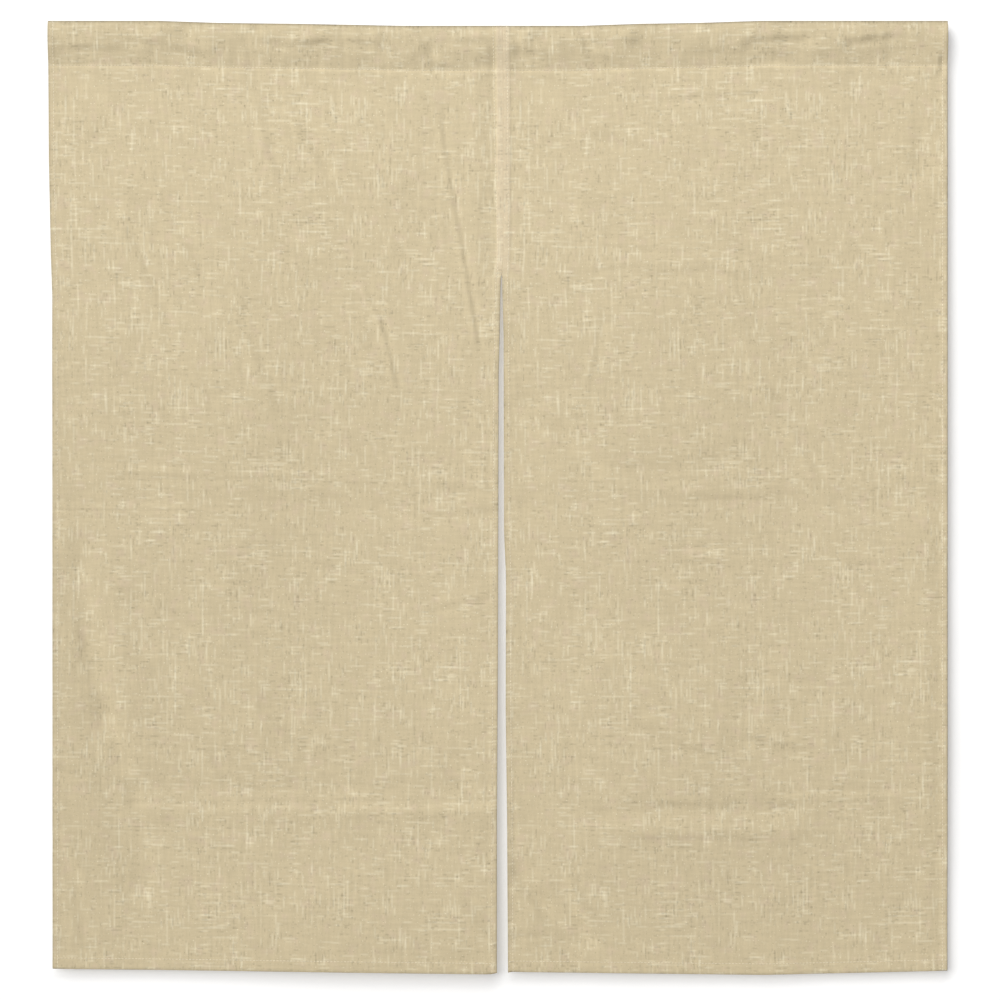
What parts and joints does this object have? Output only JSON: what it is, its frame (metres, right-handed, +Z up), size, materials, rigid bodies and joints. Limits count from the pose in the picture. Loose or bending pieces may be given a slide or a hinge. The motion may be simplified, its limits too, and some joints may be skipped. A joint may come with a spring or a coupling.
{
  "type": "noren curtain",
  "caption": "Short doorway curtain in plain slub linen-look cloth: panels joined by a centre seam that opens into a slit below, with a rod pocket along the top.",
  "frame": {"origin": "on the top fold of the rod pocket at the centre seam, in the middle of the cloth's depth", "axes": "+X to the right of someone facing the curtain, +Y from its front to its back, +Z up"},
  "size_m": [0.8529, 0.012, 0.9044],
  "materials": {
    "slub_cloth": "matt plain weave of beige slub yarn with paler cream slubs",
    "sewing_thread": "matt pale straw cotton thread"
  },
  "bodies": {
    "root": {"left_panel": "slub_cloth", "right_panel": "slub_cloth"}
  },
  "joints": []
}
